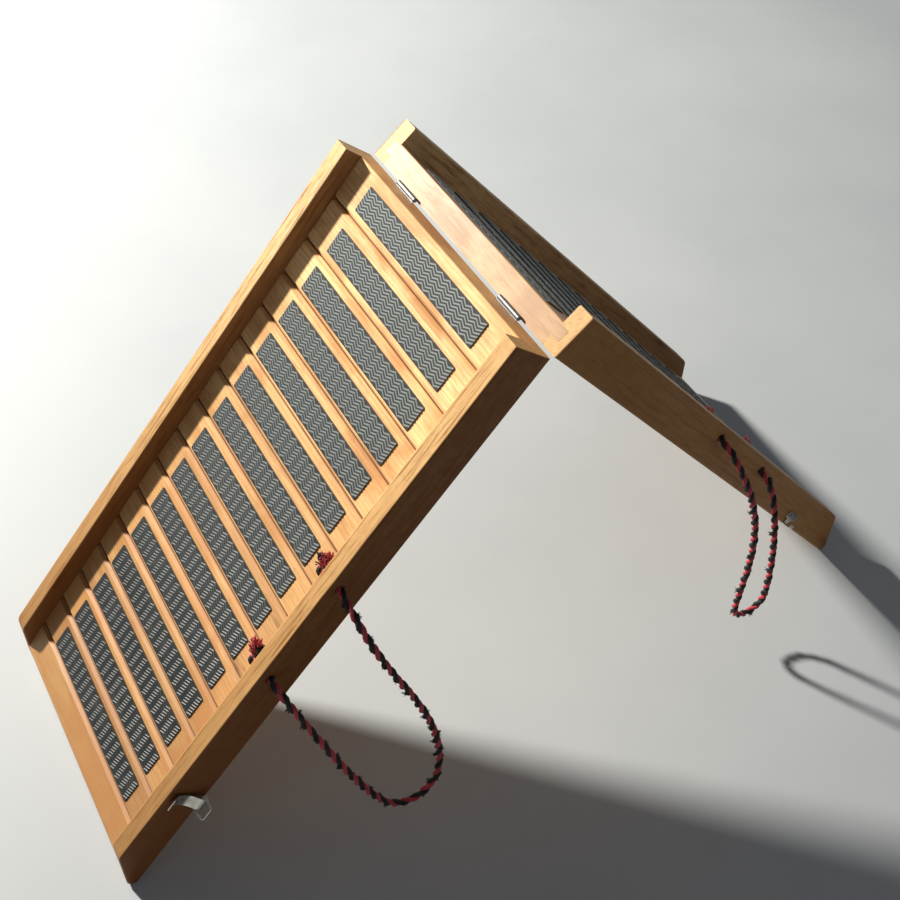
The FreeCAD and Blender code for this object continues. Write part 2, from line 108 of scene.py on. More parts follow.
# %% Sockets that add up
class Field:
    """A value that changes over the surface."""
    tree = None

    def __init__(self, socket):
        self.socket = socket

    @classmethod
    def node(cls, kind, settings=None, out=0, **inputs):
        made = cls.tree.nodes.new(kind)
        for name, value in (settings or {}).items():
            setattr(made, name, value)
        for name, value in inputs.items():
            key = int(name[1:]) if name[0] == "i" and name[1:].isdigit() else \
                name.replace("_", " ")
            socket = made.inputs[key]
            if isinstance(value, Field):
                cls.tree.links.new(value.socket, socket)
            else:
                socket.default_value = value
        return cls(made.outputs[out])

    def maths(self, operation, other=None, flip=False):
        a, b = (other, self) if flip else (self, other)
        inputs = {"i0": a} if b is None else {"i0": a, "i1": b}
        return Field.node("ShaderNodeMath", {"operation": operation}, **inputs)

    def __add__(self, other):
        return self.maths("ADD", other)

    def __sub__(self, other):
        return self.maths("SUBTRACT", other)

    def __rsub__(self, other):
        return self.maths("SUBTRACT", other, flip=True)

    def __mul__(self, other):
        return self.maths("MULTIPLY", other)

    def __truediv__(self, other):
        return self.maths("DIVIDE", other)

    __radd__ = __add__
    __rmul__ = __mul__

    def between(self, low, high):
        """0 at low and 1 at high, and held there beyond them."""
        return Field.node("ShaderNodeMapRange", Value=self, From_Min=low, From_Max=high)

    def mixed(self, first, second):
        """A colour: the first where this is 0, the second where it is 1."""
        mix = Field.tree.nodes.new("ShaderNodeMix")
        mix.data_type = "RGBA"
        for socket, value in ((mix.inputs[0], self), (mix.inputs[6], first),
                              (mix.inputs[7], second)):
            if isinstance(value, Field):
                Field.tree.links.new(value.socket, socket)
            else:
                socket.default_value = (*value, 1.0)
        return Field(mix.outputs[2])

    def tinted(self, amount):
        """This colour times an amount."""
        grey = Field.node("ShaderNodeCombineColor", Red=amount, Green=amount, Blue=amount)
        made = Field.tree.nodes.new("ShaderNodeVectorMath")
        made.operation = "MULTIPLY"
        Field.tree.links.new(self.socket, made.inputs[0])
        Field.tree.links.new(grey.socket, made.inputs[1])
        return Field(made.outputs[0])


print("sockets add up")

# %% [markdown]
# A few helpers save repeating the same lines in every material: one makes the empty material, one
# links the finished fields to the shader, and three make the nodes that each finish needs.  A
# value that is the same all over goes straight on the shader's own socket.


# %% Material helpers
def new_material(name, **constants):
    """An empty material with its shader, whose constant values are set on its own sockets."""
    material = bpy.data.materials.new(name)
    material.use_nodes = True
    Field.tree = material.node_tree
    shader = next(n for n in material.node_tree.nodes if n.type == "BSDF_PRINCIPLED")
    for key, value in constants.items():
        shader.inputs[key.replace("_", " ")].default_value = value
    return material, shader


def feed(shader, **fields):
    for key, field in fields.items():
        Field.tree.links.new(field.socket, shader.inputs[key.replace("_", " ")])


def bump(height, distance, strength):
    return Field.node("ShaderNodeBump", Height=height, Distance=distance, Strength=strength)


def noise(vector, scale, detail=3.0, roughness=0.5, distortion=0.0):
    return Field.node("ShaderNodeTexNoise", Vector=vector, Scale=scale, Detail=detail,
                      Roughness=roughness, Distortion=distortion)


def object_place():
    return Field.node("ShaderNodeTexCoord", out=3)


print("material helpers ready")

# %% [markdown]
# ## Wood
# Each section has its own slope, so the wood pattern is turned with it: a Mapping node turns the
# object's coordinates back into u (along the section), y (across) and w (up), and the grain is a
# noise that is stretched along the board.  The rails have their grain along u and the boards
# along y.  A second, coarser noise makes the wavy figure, and the number of each board, which is
# u divided by the board pitch, gives each one its own tone.


# %% Section coordinates inside a material
def section_place(side):
    """u, y and w of the shaded point, as three fields."""
    turn = SLOPE if side == "left" else -SLOPE
    carry = Matrix.Rotation(turn, 3, "Y")
    origin = carry @ Vector((0, MIDDLE_Y, HINGE_Z))
    turned = Field.node("ShaderNodeMapping", {"vector_type": "POINT"}, Vector=object_place(),
                        Location=tuple(-origin), Rotation=(0, turn, 0))
    split = Field.tree.nodes.new("ShaderNodeSeparateXYZ")
    Field.tree.links.new(turned.socket, split.inputs[0])
    u, y, w = (Field(split.outputs[k]) for k in range(3))
    return (u * -1.0 if side == "left" else u), y, w


def vector(x, y, z):
    return Field.node("ShaderNodeCombineXYZ", X=x, Y=y, Z=z)


FIRST_JOINT = 0.0626
SECOND_JOINT = 0.1230
BOARD_PITCH = 0.0510


def joint_distance(u):
    """Distance from the nearest joint between two boards."""
    past = ((u - SECOND_JOINT) / BOARD_PITCH).maths("FRACT")
    near = (0.5 - (past - 0.5).maths("ABSOLUTE")) * BOARD_PITCH
    near = near + u.between(SECOND_JOINT + 0.004, SECOND_JOINT - 0.02) * 0.05
    near = near.maths("MINIMUM", (u - SECOND_JOINT).maths("ABSOLUTE"))
    return near.maths("MINIMUM", (u - FIRST_JOINT).maths("ABSOLUTE"))


print("section coordinates ready")

# %% [markdown]
# The rails are planed pine with a clear oil finish.  The grain shows as short brown dashes in a
# honey ground.  The wood is painted lighter near the hinge as painted light, most of all on the
# back rail, and darker near the feet as painted shade.  The faces that look outwards and the back
# rail's inner face are painted brown as painted shade, and the right rail's outer face is painted
# lighter towards its foot as painted side light.  A colour of each kind is mixed in by a mask from
# u, y or a noise, which keeps every change soft.

# %% Rail wood
PALE_WOOD = (0.86, 0.500, 0.190)
HONEY_WOOD = (0.70, 0.335, 0.100)
BROWN_GRAIN = (0.300, 0.118, 0.030)
KNOT_WOOD = (0.095, 0.030, 0.012)
RED_BROWN = (0.235, 0.070, 0.020)
DUSTY_WOOD = (0.42, 0.245, 0.090)
# Painted shade for the rails' outer faces and the back rail's inner face; the right one is
# lighter, as painted light.
SHADED_FACE_WOOD = {"left": (0.180, 0.050, 0.003), "right": (0.310, 0.125, 0.022)}
PAINTED_LIGHT_WOOD = (0.93, 0.66, 0.34)          # painted light, near the hinge
SHADE_WOOD = (0.34, 0.175, 0.062)      # darker, near the feet
INNER_FACE = HALF_WIDTH - 0.024        # of a side rail


def rail_wood(side):
    material, shader = new_material("rail_wood_" + side, Coat_Roughness=0.3)
    u, y, w = section_place(side)
    across = y + w * 0.6
    streaks = noise(vector(u * 15.0, y * 210.0, w * 210.0), 1.0, 4.0, 0.62, 0.9)
    fine = noise(vector(u * 34.0, y * 900.0, w * 900.0), 1.0, 3.0, 0.65)
    figure = noise(vector(u * 3.2, y * 26.0, w * 26.0), 1.0, 4.0, 0.55, 1.2)
    rings = Field.node("ShaderNodeTexWave", {"bands_direction": "Y"}, out=1,
                       Vector=vector(u * 1.1, across * 46.0, figure * 0.5), Scale=1.0,
                       Distortion=5.0, Detail=3.0, Detail_Scale=1.6, Detail_Roughness=0.6)
    lower = u.between(0.15, 0.80)
    back_rail = y.between(-0.1, 0.1)
    planed = u.between(0.02, 0.05)
    colour = figure.between(0.32, 0.70).mixed(PALE_WOOD, HONEY_WOOD)
    # Painted light near the hinge, most on the back rail, then painted shade towards the feet.
    colour = ((1.0 - lower) * (0.38 + back_rail * 0.45)).mixed(colour, PAINTED_LIGHT_WOOD)
    colour = (lower * 0.92).mixed(colour, SHADE_WOOD)
    dashes = streaks.between(0.46, 0.64) * (0.38 + rings.between(0.2, 0.7) * 0.50)
    colour = (dashes * (0.35 + planed * 0.65)).mixed(colour, BROWN_GRAIN)
    speckle = noise(vector(u * 60.0, y * 60.0, w * 60.0), 1.0, 5.0, 0.7)
    colour = (speckle.between(0.48, 0.70) * (0.30 + lower * 0.35)).mixed(colour, DUSTY_WOOD)
    spots = Field.node("ShaderNodeTexVoronoi", {"feature": "F1"}, out=0,
                       Vector=vector(u * 4.2, y * 11.0, w * 19.0), Scale=1.0)
    knots = spots.between(0.115, 0.05) * planed
    rim = spots.between(0.21, 0.10) * planed * 0.5
    colour = rim.mixed(colour, BROWN_GRAIN)
    colour = knots.mixed(colour, KNOT_WOOD)
    far_end = u.between(0.80, 0.87)
    grimy = noise(object_place(), 38.0, 4.0, 0.6)
    colour = (far_end * grimy.between(0.45, 0.7) * 0.45).mixed(colour, RED_BROWN)
    # Painted shade on the outer faces, lightened towards the foot of the right rail as painted
    # side light.
    outside = (y.maths("ABSOLUTE")).between(HALF_WIDTH - 0.0022, HALF_WIDTH - 0.0006)
    painted_side_light = lower * (0.60 if side == "right" else 0.0)
    colour = (outside * (0.74 + speckle * 0.30 - painted_side_light)).mixed(colour, SHADED_FACE_WOOD[side])
    # Painted shade on the back rail's inner face, strong on the left section and weak on the
    # right.
    shaded = y.between(INNER_FACE + 0.0016, INNER_FACE + 0.0004) * back_rail.between(0.8, 1.0)
    colour = (shaded * (0.75 if side == "left" else 0.20)).mixed(colour, SHADED_FACE_WOOD["left"])
    colour = colour.tinted(0.80 + fine * 0.34)
    feed(shader, Base_Color=colour,
         Roughness=(0.40 + streaks * 0.22 + grimy * 0.10),
         Normal=bump(fine * 0.6 + streaks + knots * -1.5, 0.00022, 0.8))
    shader.inputs["Coat Weight"].default_value = 0.03
    shader.inputs["Specular IOR Level"].default_value = 0.24
    return material


rail_finish = {side: rail_wood(side) for side in ("left", "right")}
print("rail wood:", [m.name for m in rail_finish.values()])

# %% [markdown]
# The boards run across the ramp, so their grain runs along y.  The V where two boards meet is
# painted darker as painted shade, and the joint shows as a thin dark line.  A few boards have a
# small knot or a swirl where a branch grew near the surface.


# %% Board colours
RING_BROWN = (0.42, 0.200, 0.070)
STREAK_BROWN = (0.36, 0.165, 0.055)
BLOTCH_BROWN = (0.47, 0.205, 0.062)
SWIRL_BROWN = (0.20, 0.115, 0.060)
BRANCH_BROWN = (0.15, 0.042, 0.016)
# painted shade for the V where two boards meet
V_SHADE_BROWN = (0.40, 0.155, 0.050)
JOINT_DARK = (0.10, 0.032, 0.011)
WARM_BOARD = (0.62, 0.31, 0.12)
print("darkest board colour, in the joints:", JOINT_DARK)

# %% [markdown]
# The material adds those colours one over another, from the broad figure, with painted light near
# the hinge and painted shade near the feet, down to the joint, and then gives each board its own
# tone, times a painted light that falls off down the left section and a painted shade over the
# whole right section.


# %% Board wood
def board_wood(side):
    material, shader = new_material("board_wood_" + side, Coat_Roughness=0.32)
    shader.inputs["Coat Weight"].default_value = 0.10
    u, y, w = section_place(side)
    number = ((u - SECOND_JOINT) / BOARD_PITCH).maths("FLOOR")
    own = Field.node("ShaderNodeTexWhiteNoise", {"noise_dimensions": "1D"}, W=number + 7.3)
    own_hue = Field.node("ShaderNodeTexWhiteNoise", {"noise_dimensions": "1D"}, W=number + 91.7)
    shift = own * 13.0
    figure = noise(vector(u * 30.0, y * 7.0 + shift, w * 20.0), 1.0, 4.0, 0.62, 1.8)
    streaks = noise(vector(u * 150.0, y * 17.0 + shift, w * 150.0), 1.0, 4.0, 0.62, 1.3)
    fine = noise(vector(u * 820.0, y * 30.0 + shift, w * 820.0), 1.0, 3.0, 0.65)
    rings = Field.node("ShaderNodeTexWave", {"bands_direction": "X"}, out=1,
                       Vector=vector(u * 52.0, y * 1.3 + shift, figure * 0.8), Scale=1.0,
                       Distortion=6.0, Detail=3.0, Detail_Scale=1.4, Detail_Roughness=0.6)
    lower = u.between(0.10, 0.78)
    colour = figure.between(0.36, 0.62).mixed(PALE_WOOD, HONEY_WOOD)
    # Painted light near the hinge and painted shade towards the feet.
    colour = (0.66 - lower * 0.66).mixed(colour, PAINTED_LIGHT_WOOD)
    colour = (lower * 0.62).mixed(colour, SHADE_WOOD)
    colour = (rings.between(0.50, 0.92) * 0.30).mixed(colour, RING_BROWN)
    colour = (streaks.between(0.48, 0.68) * 0.45).mixed(colour, STREAK_BROWN)
    blotch = noise(vector(u * 16.0, y * 9.0 + shift, w * 8.0), 1.0, 3.0, 0.5, 0.6)
    colour = (blotch.between(0.46, 0.62) * 0.66).mixed(colour, BLOTCH_BROWN)
    spots = Field.node("ShaderNodeTexVoronoi", {"feature": "F1"}, out=0,
                       Vector=vector(u * 13.0, y * 5.2 + shift, w * 4.0), Scale=1.0)
    swirl = spots.between(0.30, 0.09) * 0.55
    colour = (swirl * streaks.between(0.40, 0.6)).mixed(colour, SWIRL_BROWN)
    knots = spots.between(0.075, 0.035)
    colour = knots.mixed(colour, BRANCH_BROWN)
    near = joint_distance(u)
    wobble = noise(vector(u * 3.0, y * 30.0, w * 3.0), 1.0, 2.0)
    crack = near.between(0.0015, 0.0004) * (0.65 + wobble * 0.45)
    # Painted shade on the chamfers of the V between two boards.
    v_shade = near.between(0.0042, 0.0012) * 0.18
    colour = v_shade.mixed(colour, V_SHADE_BROWN)
    colour = crack.mixed(colour, JOINT_DARK)
    # Painted light falling off down the left section and painted shade over the whole right
    # section; own and fine add each board's real tone and grain.
    light_and_board_tone = 1.10 - lower * 0.34 if side == "left" else 0.47
    light_and_board_tone = own * 0.20 + fine * 0.20 + light_and_board_tone
    colour = colour.tinted(light_and_board_tone)
    colour = (own_hue * 0.18).mixed(colour, WARM_BOARD)
    feed(shader, Base_Color=colour, Roughness=(0.38 + streaks * 0.24 + crack * 0.25),
         Normal=bump(fine * 0.5 + streaks + knots * -1.5, 0.00020, 0.8))
    return material


board_finish = {side: board_wood(side) for side in ("left", "right")}
print("board wood:", [m.name for m in board_finish.values()])

# %% [markdown]
# ## Metal
# The hinges and the latch are pressed steel with a bright plating.  Plating is never a perfect
# mirror: it has fine rubbing marks in all directions, duller patches where fingers touch it, and
# a little brown where two parts rub.


# %% Plated steel
def plated(name, colour, dull, rubbed, roughness):
    material, shader = new_material(name)
    place = object_place()
    patches = noise(place, 160.0, 4.0, 0.6)
    marks = noise(Field.node("ShaderNodeMapping", Vector=place, Scale=(2600.0, 240.0, 900.0),
                             Rotation=(0.4, 0.3, 0.9)), 1.0, 3.0, 0.7)
    grime = noise(place, 520.0, 3.0, 0.6)
    base = patches.between(0.42, 0.70).mixed(colour, dull)
    base = (grime.between(0.64, 0.80) * 0.3).mixed(base, rubbed)
    feed(shader, Base_Color=base,
         Roughness=(roughness + marks * 0.12 + patches * 0.10),
         Metallic=(1.0 - grime.between(0.66, 0.84) * 0.20),
         Normal=bump(marks + grime * 0.5, 0.00002, 0.5))
    return material


nickel = plated("nickel_plate", (0.66, 0.63, 0.56), (0.42, 0.40, 0.34), (0.21, 0.16, 0.11), 0.06)
wire = plated("bright_wire", (0.78, 0.78, 0.76), (0.56, 0.56, 0.55), (0.25, 0.20, 0.15), 0.12)
zinc = plated("zinc_steel", (0.31, 0.32, 0.34), (0.22, 0.23, 0.24), (0.17, 0.13, 0.10), 0.40)
print("metals:", nickel.name, wire.name, zinc.name)

# %% [markdown]
# ## Rubber
# The treads are cut from ribbed mat.  The rubber is nearly black; the tops of the ribs are grey,
# lightest near the hinge and darker towards the feet, with patches of dust, while the grooves stay
# dark and dull.  The height of the shaded point above the walking face, which comes from w, says
# which is which.

# %% Ribbed rubber
STRIP_BASE = 0.00105
RIB_TOP = 0.00190


def rubber(side):
    material, shader = new_material("ribbed_rubber_" + side, IOR=1.55)
    u, y, w = section_place(side)
    height = (w - WALKING_FACE).between(STRIP_BASE + 0.00018, RIB_TOP)
    dust = noise(vector(u * 30.0, y * 22.0, w), 1.0, 5.0, 0.65)
    grains = noise(vector(u * 1500.0, y * 1500.0, w * 1500.0), 1.0, 2.0, 0.6)
    nearer_hinge = u.between(0.62, 0.03)
    top = nearer_hinge.mixed((0.014, 0.021, 0.024), (0.310, 0.355, 0.362))
    colour = height.mixed((0.007, 0.009, 0.010), top)
    colour = (dust.between(0.50, 0.75) * height * 0.35).mixed(colour, (0.20, 0.205, 0.19))
    feed(shader, Base_Color=colour,
         Roughness=(0.52 - height * 0.30 + grains * 0.12 + dust * 0.12),
         Normal=bump(grains, 0.00005, 0.6))
    return material


rubber_finish = {side: rubber(side) for side in ("left", "right")}
print("rubber:", [m.name for m in rubber_finish.values()])

# %% [markdown]
# ## One ribbed tread
# A tread is a flat strip with seven raised ribs that zigzag along it.  One rib is modelled from a
# grid that is one rib wide: its two inner rows of points are lifted into a ridge, and every
# second column is pushed sideways to make the zigzag.  The rib is then copied across the strip.
# All of that happens in section lengths, so that a finished strip can be set on any board.

# %% Sizes of a tread
STRIP_WIDTH = 0.0340
STRIP_LENGTH = 0.2650
RIB_COUNT = 7
RIB_PITCH = 0.00430
RIB_WIDTH = 0.0037
ZIGZAG_THROW = 0.0019
COLUMNS = 34
RIB_LENGTH = STRIP_LENGTH - 0.0006
print("rib pitch:", RIB_PITCH, "m, columns:", COLUMNS)

# %% [markdown]
# Modelling in code needs what a hand does without thinking: deselect everything, select by place,
# and apply an object's location and scale, so that its mesh says where it really is.


# %% Edit-mode helpers
def fresh():
    if bpy.context.object and bpy.context.object.mode != "OBJECT":
        bpy.ops.object.mode_set(mode="OBJECT")
    bpy.ops.object.select_all(action="DESELECT")


def pick(obj, test, kind="verts"):
    """In edit mode, select only the points or the faces that pass the test."""
    bpy.ops.object.mode_set(mode="OBJECT")
    mesh = obj.data
    for group in (mesh.vertices, mesh.edges, mesh.polygons):
        group.foreach_set("select", [False] * len(group))
    for item in {"verts": mesh.vertices, "faces": mesh.polygons}[kind]:
        item.select = test(item)
    bpy.ops.object.mode_set(mode="EDIT")
    bpy.ops.mesh.select_mode(type="VERT" if kind == "verts" else "FACE")


def settle(obj):
    """Leave edit mode and put the object's place into its mesh."""
    fresh()
    obj.select_set(True)
    bpy.context.view_layer.objects.active = obj
    bpy.ops.object.transform_apply(location=True, rotation=True, scale=True)


def join(objects, name):
    fresh()
    for obj in objects:
        obj.select_set(True)
    bpy.context.view_layer.objects.active = objects[0]
    bpy.ops.object.join()
    objects[0].name = name
    objects[0].data.name = name
    return objects[0]


print("edit helpers ready")

# %% [markdown]
# The rib starts as a flat grid, three squares wide.  Lifting its inner points makes the ridge,
# pushing every second column sideways makes the zigzag, and an extrusion downwards closes it.


# %% Model one rib
def model_rib():
    fresh()
    bpy.ops.mesh.primitive_grid_add(x_subdivisions=3, y_subdivisions=COLUMNS, size=1.0,
                                    location=(0, 0, 0))
    rib = bpy.context.object
    rib.scale = (RIB_WIDTH, RIB_LENGTH, 1.0)
    settle(rib)
    step = RIB_LENGTH / COLUMNS
    pick(rib, lambda v: abs(v.co.x) < RIB_WIDTH * 0.3)
    bpy.ops.transform.translate(value=(0, 0, RIB_TOP - STRIP_BASE))
    pick(rib, lambda v: round((v.co.y + STRIP_LENGTH / 2) / step) % 2 == 1)
    bpy.ops.transform.translate(value=(ZIGZAG_THROW * 2, 0, 0))
    bpy.ops.mesh.select_all(action="SELECT")
    bpy.ops.transform.translate(value=(-ZIGZAG_THROW, 0, STRIP_BASE))
    bpy.ops.mesh.select_all(action="SELECT")
    bpy.ops.mesh.extrude_region_move(TRANSFORM_OT_translate={"value": (0, 0, -0.0004)})
    bpy.ops.mesh.select_all(action="SELECT")
    bpy.ops.mesh.normals_make_consistent(inside=False)
    bpy.ops.object.mode_set(mode="OBJECT")
    return rib


rib = model_rib()
print("rib faces:", len(rib.data.polygons))

# %% [markdown]
# The strip under the ribs is a thin box whose four upright edges are bevelled round, with a small
# step inside its rim.  The ribs are copies of the one rib, and all of it becomes one mesh.


# %% Model the strip under the ribs and join them
def model_strip():
    fresh()
    bpy.ops.mesh.primitive_cube_add(size=1.0, location=(0, 0, STRIP_BASE / 2))
    base = bpy.context.object
    base.scale = (STRIP_WIDTH, STRIP_LENGTH, STRIP_BASE)
    settle(base)
    bpy.ops.object.mode_set(mode="EDIT")
    bpy.ops.mesh.select_mode(type="EDGE")
    bpy.ops.mesh.select_all(action="DESELECT")
    bpy.ops.object.mode_set(mode="OBJECT")
    for edge in base.data.edges:
        a, b = (base.data.vertices[k].co for k in edge.vertices)
        edge.select = abs(a.z - b.z) > STRIP_BASE / 2
    bpy.ops.object.mode_set(mode="EDIT")
    bpy.ops.mesh.bevel(offset=0.0020, segments=4, affect="EDGES")
    pick(base, lambda f: f.normal.z > 0.9, "faces")
    bpy.ops.mesh.inset(thickness=0.0003)
    bpy.ops.transform.translate(value=(0, 0, 0.00015))
    bpy.ops.object.mode_set(mode="OBJECT")
    ribs = []
    for k in range(RIB_COUNT):
        one = bpy.data.objects.new("rib", rib.data.copy())
        bpy.context.scene.collection.objects.link(one)
        one.location = ((k - (RIB_COUNT - 1) / 2) * RIB_PITCH, 0, 0)
        settle(one)
        ribs.append(one)
    return join([base] + ribs, "tread_strip")


strip = model_strip()
strip.hide_render = True
bpy.data.objects.remove(rib)
print("strip faces:", len(strip.data.polygons))

# %% [markdown]
# Fifteen strips lie on each section, one on each board but the last.  The strip is copied to
# each place along u, the copies are joined, and the joined treads are carried to the section's
# slope.  A mirror image turns its faces inside out, so the left treads' normals are made
# consistent again.

# %% Lay the treads
BOARD_EDGES = [(0.0034, 0.0624), (0.0628, 0.1228)]
while len(BOARD_EDGES) < 15:
    BOARD_EDGES.append((BOARD_EDGES[-1][1] + 0.0004, BOARD_EDGES[-1][1] + BOARD_PITCH))
STRIP_OFFSET = 0.0020


def lay_treads(side):
    copies = []
    for start, end in BOARD_EDGES:
        one = bpy.data.objects.new("strip", strip.data.copy())
        bpy.context.scene.collection.objects.link(one)
        one.location = ((start + end) / 2 + STRIP_OFFSET, 0, WALKING_FACE)
        settle(one)
        copies.append(one)
    treads = join(copies, side + "_ribbed_treads")
    treads.data.transform(section_matrix(side))
    fresh()
    treads.select_set(True)
    bpy.context.view_layer.objects.active = treads
    bpy.ops.object.mode_set(mode="EDIT")
    bpy.ops.mesh.select_all(action="SELECT")
    bpy.ops.mesh.normals_make_consistent(inside=False)
    bpy.ops.object.mode_set(mode="OBJECT")
    treads.data.materials.clear()
    treads.data.materials.append(rubber_finish[side])
    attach(treads, side + "_section")
    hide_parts(side + "_rubber_treads")
    return treads


treads = {side: lay_treads(side) for side in ("left", "right")}
bpy.data.objects.remove(strip)
print("tread faces:", {side: len(t.data.polygons) for side, t in treads.items()})

# %% [markdown]
# ## Rope yarn
# The rope is two thick strands, one red and one black, laid round each other.  A strand is made
# of many fine yarns.  Its mesh carries a UV map, with U along the strand and V round it, so the
# yarns are drawn as slanting stripes in that map and rise in the bump.


# %% Yarn material
def yarn(name, light, crease_shade, sheen):
    material, shader = new_material(name, Sheen_Weight=sheen, Sheen_Roughness=0.45)
    uv = Field.node("ShaderNodeUVMap", {"uv_map": "yarns"})
    split = Field.tree.nodes.new("ShaderNodeSeparateXYZ")
    Field.tree.links.new(uv.socket, split.inputs[0])
    along, around = Field(split.outputs[0]), Field(split.outputs[1])
    fuzz = noise(object_place(), 900.0, 3.0, 0.6)
    worn = noise(object_place(), 85.0, 3.0, 0.6)
    phase = (around * 9.0 + along * 2.2 + fuzz * 0.35).maths("FRACT")
    ridge = 1.0 - (phase - 0.5).maths("ABSOLUTE") * 2.0
    hairs = noise(vector(along * 26.0 + around * 40.0, around * 110.0, 0.0), 1.0, 3.0, 0.6)
    # The creases between the yarns are painted darker, as painted shade.
    colour = ridge.between(0.05, 0.75).mixed(crease_shade, light)
    colour = colour.tinted(0.62 + worn * 0.50 + hairs * 0.30)
    feed(shader, Base_Color=colour, Roughness=(0.50 + hairs * 0.25),
         Normal=bump(ridge * 0.8 + hairs * 0.4, 0.00035, 0.9))
    return material


red_yarn = yarn("red_yarn", (0.82, 0.070, 0.100), (0.18, 0.005, 0.010), 0.22)
faded_yarn = yarn("faded_yarn", (0.84, 0.300, 0.270), (0.36, 0.070, 0.060), 0.22)
black_yarn = yarn("black_yarn", (0.013, 0.015, 0.015), (0.003, 0.003, 0.003), 0.03)
print("yarns:", red_yarn.name, faded_yarn.name, black_yarn.name)

# %% [markdown]
# ## The route of each rope
# Each handle leaves its upper hole, hangs below the rail in a loop and comes back in at the lower
# hole.  The points below are the corners of that route, measured in metres from the hinge axis at
# mid width.  They become the control points of one NURBS spline, whose order of three rounds
# every corner, and its middle line is read back as closely spaced points.

# %% Corners of the routes
HOLE_HEIGHT = 0.0413
HOLE_SPACING = 0.142
FIRST_HOLE = {"left": 0.341, "right": 0.373}
KNOT_Y = -0.1667
ROPE_START_Y = -0.1707
ROPE_OUT_Y = -0.212
LOOPS = {
    "left": [(-0.247, -0.246, -0.262), (-0.226, -0.268, -0.322), (-0.196, -0.281, -0.392),
             (-0.176, -0.287, -0.464), (-0.170, -0.290, -0.531), (-0.178, -0.291, -0.573),
             (-0.204, -0.291, -0.597), (-0.237, -0.289, -0.588), (-0.260, -0.284, -0.550),
             (-0.286, -0.273, -0.490), (-0.310, -0.257, -0.426), (-0.332, -0.237, -0.366)],
    "right": [(0.279, -0.240, -0.286), (0.299, -0.252, -0.338), (0.316, -0.258, -0.402),
              (0.321, -0.261, -0.472), (0.317, -0.262, -0.541), (0.3165, -0.2625, -0.583),
              (0.3323, -0.263, -0.599), (0.3547, -0.263, -0.599), (0.3705, -0.2625, -0.583),
              (0.370, -0.261, -0.541), (0.368, -0.256, -0.487), (0.366, -0.246, -0.436),
              (0.364, -0.231, -0.392)]}
print("corners:", {side: len(loop) for side, loop in LOOPS.items()})

# %% [markdown]
# A route is the two holes with the loop between them.  One helper turns it into a smooth line, and
# the other puts that line's points a millimetre apart, so that the strands turn evenly.


# %% Rope routes
def hole(side, number):
    """The place of a rope hole on the rail's middle plane, with y left at zero."""
    return on_section(side, FIRST_HOLE[side] + number * HOLE_SPACING, 0, HOLE_HEIGHT)


def rope_route(side):
    upper, lower = hole(side, 0), hole(side, 1)
    across = (ROPE_START_Y, ROPE_OUT_Y)
    start = [Vector((upper.x, y + MIDDLE_Y, upper.z)) for y in across]
    end = [Vector((lower.x, y + MIDDLE_Y, lower.z)) for y in reversed(across)]
    loop = [Vector((x, y + MIDDLE_Y, z + HINGE_Z)) for x, y, z in LOOPS[side]]
    return start + loop + end


def smooth_line(points):
    """Points read from one NURBS spline through the route, in order."""
    data = bpy.data.curves.new("route", "CURVE")
    data.dimensions = "3D"
    spline = data.splines.new("NURBS")
    spline.points.add(len(points) - 1)
    for point, place in zip(spline.points, points):
        point.co = (*place, 1.0)
    spline.order_u = 3
    spline.use_endpoint_u = True
    spline.resolution_u = 24
    holder = bpy.data.objects.new("route", data)
    bpy.context.scene.collection.objects.link(holder)
    bpy.context.view_layer.update()
    mesh = bpy.data.meshes.new_from_object(
        holder.evaluated_get(bpy.context.evaluated_depsgraph_get()))
    line = np.array([v.co[:] for v in mesh.vertices])
    bpy.data.objects.remove(holder)
    bpy.data.meshes.remove(mesh)
    return line


def even_points(line, spacing):
    """The same line with its points a set distance apart."""
    steps = np.linalg.norm(np.diff(line, axis=0), axis=1)
    keep = np.concatenate(([True], steps > 1e-7))
    line = line[keep]
    gone = np.concatenate(([0], np.cumsum(np.linalg.norm(np.diff(line, axis=0), axis=1))))
    count = int(gone[-1] / spacing)
    marks = np.linspace(0, gone[-1], count + 1)
    return np.stack([np.interp(marks, gone, line[:, k]) for k in range(3)], axis=1), gone[-1]


rope_lines = {}
for side in ("left", "right"):
    rope_lines[side], measured = even_points(smooth_line(rope_route(side)), 0.0010)
    print(side, "rope middle line:", round(measured, 4), "m")

# %% [markdown]
# ## Laying two strands round a line
# A strand is a tube whose middle circles the rope's middle line once every 30 mm on the left rope
# and 24 mm on the right one.  To keep the turns even, a frame is carried along the line without
# twist, and the strand's angle in it grows steadily.  The tube itself has five soft lobes, as the
# yarns make in a real strand, and it swells and thins a little so that the rope looks handmade.

# %% Strand builder
LAYS = {"left": 0.0300, "right": 0.0240}
YARN_REPEAT = 0.0220       # length of strand for one step of the UV map
STRAND_RADIUS = 0.00262
STRAND_OFFSET = 0.00222
STRAND_SIDES = 20
LOBES = 5
LOBE_TWIST = 2 * math.pi * LOBES / 0.034
LOBE_SWELL = 0.13


def length_so_far(line):
    return np.concatenate(([0], np.cumsum(np.linalg.norm(np.diff(line, axis=0), axis=1))))


def carried_frame(line):
    """Two directions square to the line at each point, carried along without twist."""
    ahead = np.gradient(line, axis=0)
    ahead /= np.linalg.norm(ahead, axis=1)[:, None]
    first = np.cross(ahead[0], (0.31, 0.44, 0.84))
    first /= np.linalg.norm(first)
    sides = [first]
    for direction in ahead[1:]:
        now = sides[-1] - direction * np.dot(sides[-1], direction)
        sides.append(now / np.linalg.norm(now))
    sides = np.array(sides)
    return ahead, sides, np.cross(ahead, sides)


